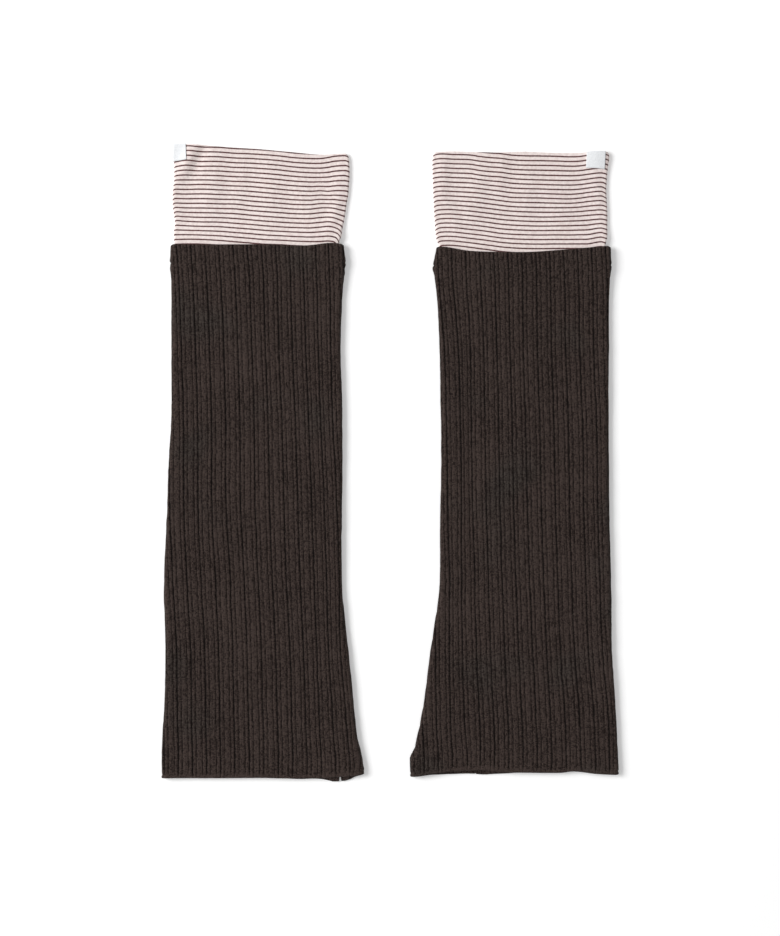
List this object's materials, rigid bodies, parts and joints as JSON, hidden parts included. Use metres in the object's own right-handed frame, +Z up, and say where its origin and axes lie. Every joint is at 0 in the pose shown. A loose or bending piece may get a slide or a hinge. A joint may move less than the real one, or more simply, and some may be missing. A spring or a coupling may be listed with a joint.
{
  "type": "pair of leg warmers",
  "caption": "Leg warmers laid flat side by side: long, slightly flared rib-knit tubes with a turned upper hem, a striped jersey cuff and a small woven label folded over the cuff's edge.",
  "frame": {"origin": "centre of the pair's outline, on the surface the pair lies on", "axes": "+Y along the legs towards the striped cuffs, +X across the pair towards the right-hand one as seen from above with the cuffs away from the viewer, +Z up from the surface"},
  "size_m": [0.3289, 0.4601, 0.0071],
  "materials": {
    "rib_knit": "matt charcoal-brown rib knit",
    "striped_jersey": "matt off-white jersey with fine brown stripes",
    "label_tape": "white woven tape"
  },
  "bodies": {
    "root": {"rib_body_left": "rib_knit", "rib_body_right": "rib_knit", "striped_cuff_left": "striped_jersey", "striped_cuff_right": "striped_jersey", "label_left": "label_tape", "label_right": "label_tape"}
  },
  "joints": []
}
